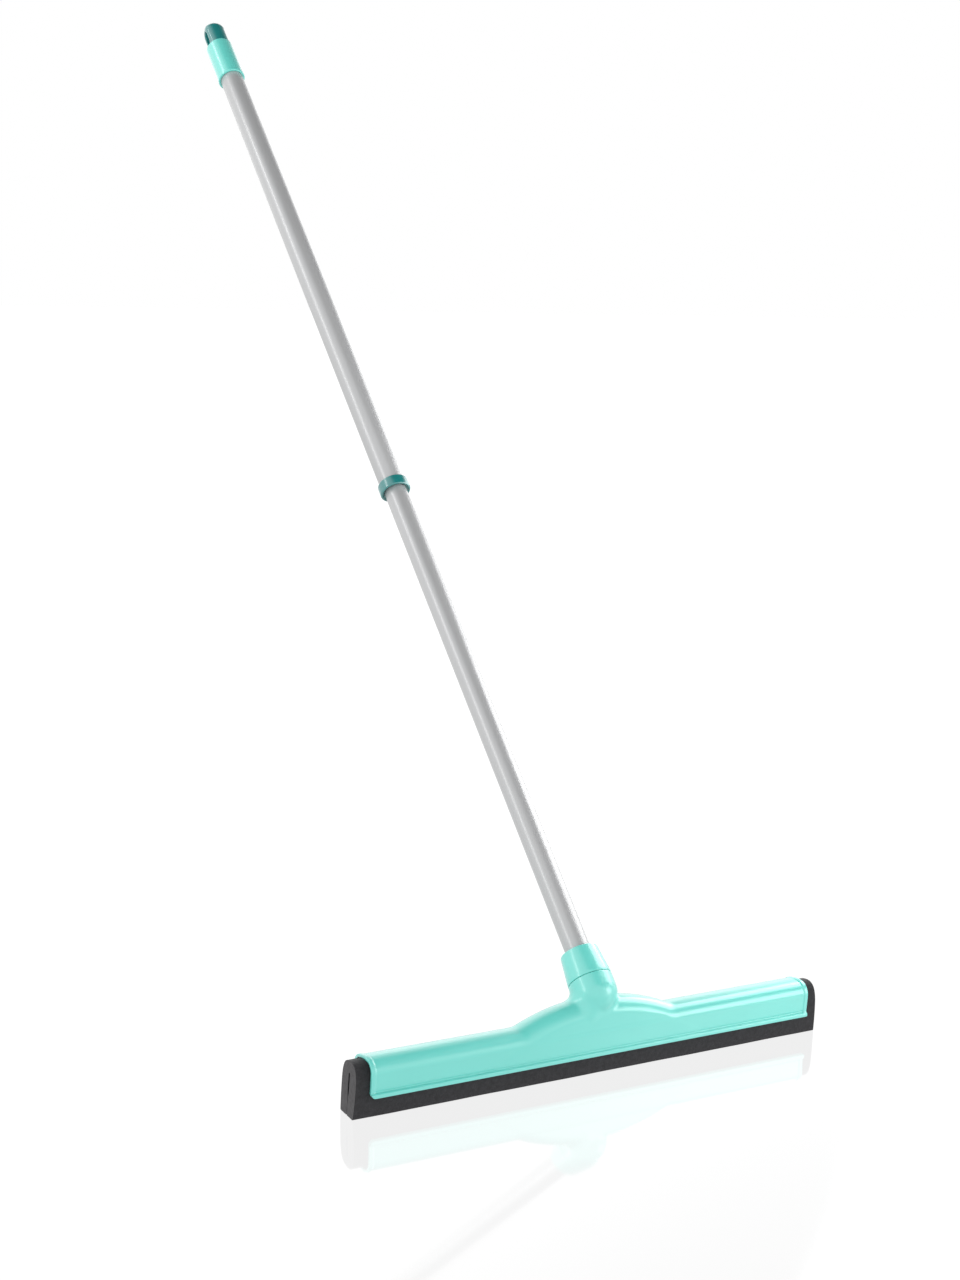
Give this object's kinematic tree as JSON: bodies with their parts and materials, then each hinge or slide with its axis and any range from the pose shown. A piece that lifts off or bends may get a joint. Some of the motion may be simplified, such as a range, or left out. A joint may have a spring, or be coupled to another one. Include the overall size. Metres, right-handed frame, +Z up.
{
  "type": "floor squeegee",
  "caption": "Floor squeegee with a folded foam blade in a long moulded head and a leaning telescopic twist-lock pole with a grip and a hanging eyelet.",
  "frame": {"origin": "on the floor, in the middle of the line that the two foam lips make", "axes": "+X along the blade, +Y the way the pole leans, +Z up"},
  "size_m": [0.45, 0.9216, 0.895],
  "materials": {
    "mint_plastic": "smooth moulded polypropylene, satin gloss, pale mint",
    "teal_plastic": "smooth moulded polypropylene, satin gloss, deep teal",
    "tube_paint": "thin-walled steel tube with a silver-grey satin coating",
    "foam_rubber": "fine-celled charcoal foam rubber, matt",
    "inner_plastic": "plain natural nylon, matt"
  },
  "bodies": {
    "head_and_lower_pole": {"head_body": "mint_plastic", "foam_blade": "foam_rubber", "foam_spine": "inner_plastic", "pole_adapter": "mint_plastic", "lower_tube": "tube_paint", "lock_core": "inner_plastic", "lock_retainer": "inner_plastic"},
    "lock_turn": {"lock_ring": "inner_plastic"},
    "upper_pole": {"upper_tube": "tube_paint", "collar": "teal_plastic", "grip_sleeve": "mint_plastic", "hanger_cap": "teal_plastic"}
  },
  "joints": [
    {"name": "pole_twist", "type": "hinge", "parent": "head_and_lower_pole", "child": "lock_turn", "pos_m": [0, 0, 0.067], "axis": [0, 0.7373, 0.6756], "range_deg": [-70, 0]},
    {"name": "pole_telescope", "type": "slide", "parent": "lock_turn", "child": "upper_pole", "axis": [0, 0.7373, 0.6756], "range_m": [-0.49, 0.06]}
  ]
}
